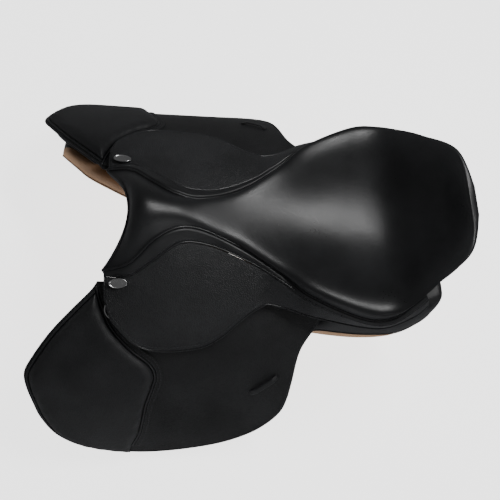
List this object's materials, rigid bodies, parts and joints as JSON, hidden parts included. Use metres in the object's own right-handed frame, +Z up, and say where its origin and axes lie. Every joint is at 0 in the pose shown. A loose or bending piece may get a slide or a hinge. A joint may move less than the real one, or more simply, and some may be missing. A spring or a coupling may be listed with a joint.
{
  "type": "english saddle",
  "caption": "English jumping saddle with a deep leather seat, forward flaps with knee pads, lifting skirts, stirrup bars, girth straps and flocked panels.",
  "frame": {"origin": "middle plane of the saddle, under the lowest part of the seat, on the level where the panels bear", "axes": "+Z up, -Y towards the pommel, +X towards the rider's left side"},
  "size_m": [0.524, 0.5317, 0.2936],
  "materials": {
    "smooth_leather": "smooth black leather with a soft satin shine",
    "grained_leather": "black leather with a fine pebbled grain",
    "piping_leather": "rolled black piping, polished along its ridge",
    "lining_leather": "matt black strap and lining leather",
    "tan_leather": "soft tan panel leather",
    "tree_beech": "laminated beech",
    "tree_steel": "black painted steel",
    "bright_steel": "polished stainless steel",
    "badge_metal": "plain brushed oval plate",
    "webbing": "woven cotton webbing",
    "seat_foam": "open-cell foam"
  },
  "bodies": {
    "root": {"tree_head": "tree_beech", "head_plate": "tree_steel", "gullet_plate": "tree_steel", "head_rivets": "bright_steel", "rail_left": "tree_beech", "rail_right": "tree_beech", "spring_left": "tree_steel", "spring_right": "tree_steel", "cantle_board": "tree_beech", "seat_web_long": "webbing", "seat_webs_cross": "webbing", "seat_foam": "seat_foam", "seat_cover": "smooth_leather", "seat_welt_left": "piping_leather", "seat_welt_right": "piping_leather", "skirt_band_left": "smooth_leather", "skirt_band_right": "smooth_leather", "skirt_upper_left": "grained_leather", "skirt_upper_right": "grained_leather", "badge_left": "badge_metal", "badge_right": "badge_metal", "stirrup_bar_left": "bright_steel", "stirrup_bar_right": "bright_steel", "bar_rivets": "bright_steel", "catch_pins": "bright_steel", "flap_upper_left": "grained_leather", "flap_upper_right": "grained_leather", "knee_pad_top_left": "smooth_leather", "knee_pad_top_right": "smooth_leather", "sweat_flap_left": "lining_leather", "sweat_flap_right": "lining_leather", "knee_block_left": "lining_leather", "knee_block_right": "lining_leather", "billet_webs_left": "webbing", "billet_webs_right": "webbing", "panel_left": "tan_leather", "panel_right": "tan_leather", "gullet_lining": "tan_leather", "point_pocket_left": "lining_leather", "point_pocket_right": "lining_leather", "d_clip_left": "bright_steel", "d_clip_right": "bright_steel", "cantle_facing": "smooth_leather"},
    "flap_left": {"flap_left": "grained_leather", "knee_pad_left": "smooth_leather", "keeper_left": "smooth_leather"},
    "skirt_left": {"skirt_left": "grained_leather"},
    "catch_left": {"bar_catch_left": "bright_steel"},
    "billets_left": {"billets_left": "lining_leather"},
    "guard_left": {"buckle_guard_left": "lining_leather"},
    "ring_left": {"d_ring_left": "bright_steel"},
    "flap_right": {"flap_right": "grained_leather", "knee_pad_right": "smooth_leather", "keeper_right": "smooth_leather"},
    "skirt_right": {"skirt_right": "grained_leather"},
    "catch_right": {"bar_catch_right": "bright_steel"},
    "billets_right": {"billets_right": "lining_leather"},
    "guard_right": {"buckle_guard_right": "lining_leather"},
    "ring_right": {"d_ring_right": "bright_steel"}
  },
  "joints": [
    {"name": "flap_lift_left", "type": "hinge", "parent": "root", "child": "flap_left", "pos_m": [0.157, -0.15, 0.04783], "axis": [0, -1, 0], "range_deg": [0, 75]},
    {"name": "skirt_lift_left", "type": "hinge", "parent": "root", "child": "skirt_left", "pos_m": [0.101, -0.13, 0.09496], "axis": [0, -1, 0], "range_deg": [0, 60]},
    {"name": "catch_turn_left", "type": "hinge", "parent": "root", "child": "catch_left", "pos_m": [0.0885, -0.09, 0.08062], "axis": [0.9238, 0, -0.3828], "range_deg": [0, 60]},
    {"name": "strap_swing_left", "type": "hinge", "parent": "root", "child": "billets_left", "pos_m": [0.104, -0.117, 0.06035], "axis": [0.448, 0, 0.894], "range_deg": [-2, 2]},
    {"name": "guard_slide_left", "type": "hinge", "parent": "billets_left", "child": "guard_left", "pos_m": [-0.034, -0.117, -0.215], "axis": [0, 1, 0], "range_deg": [-8, 14]},
    {"name": "ring_swing_left", "type": "hinge", "parent": "root", "child": "ring_left", "pos_m": [0.107, -0.2185, 0.0807], "axis": [-0.9026, 0, 0.4304], "range_deg": [0, 20]},
    {"name": "flap_lift_right", "type": "hinge", "parent": "root", "child": "flap_right", "pos_m": [-0.157, -0.15, 0.04783], "axis": [0, 1, 0], "range_deg": [0, 75]},
    {"name": "skirt_lift_right", "type": "hinge", "parent": "root", "child": "skirt_right", "pos_m": [-0.101, -0.13, 0.09496], "axis": [0, 1, 0], "range_deg": [0, 60]},
    {"name": "catch_turn_right", "type": "hinge", "parent": "root", "child": "catch_right", "pos_m": [-0.0885, -0.09, 0.08062], "axis": [0.9238, 0, 0.3828], "range_deg": [0, 60]},
    {"name": "strap_swing_right", "type": "hinge", "parent": "root", "child": "billets_right", "pos_m": [-0.104, -0.117, 0.06035], "axis": [-0.448, 0, 0.894], "range_deg": [-2, 2]},
    {"name": "guard_slide_right", "type": "hinge", "parent": "billets_right", "child": "guard_right", "pos_m": [0.034, -0.117, -0.215], "axis": [0, -1, 0], "range_deg": [-8, 14]},
    {"name": "ring_swing_right", "type": "hinge", "parent": "root", "child": "ring_right", "pos_m": [-0.107, -0.2185, 0.0807], "axis": [-0.9026, 0, -0.4304], "range_deg": [0, 20]}
  ]
}
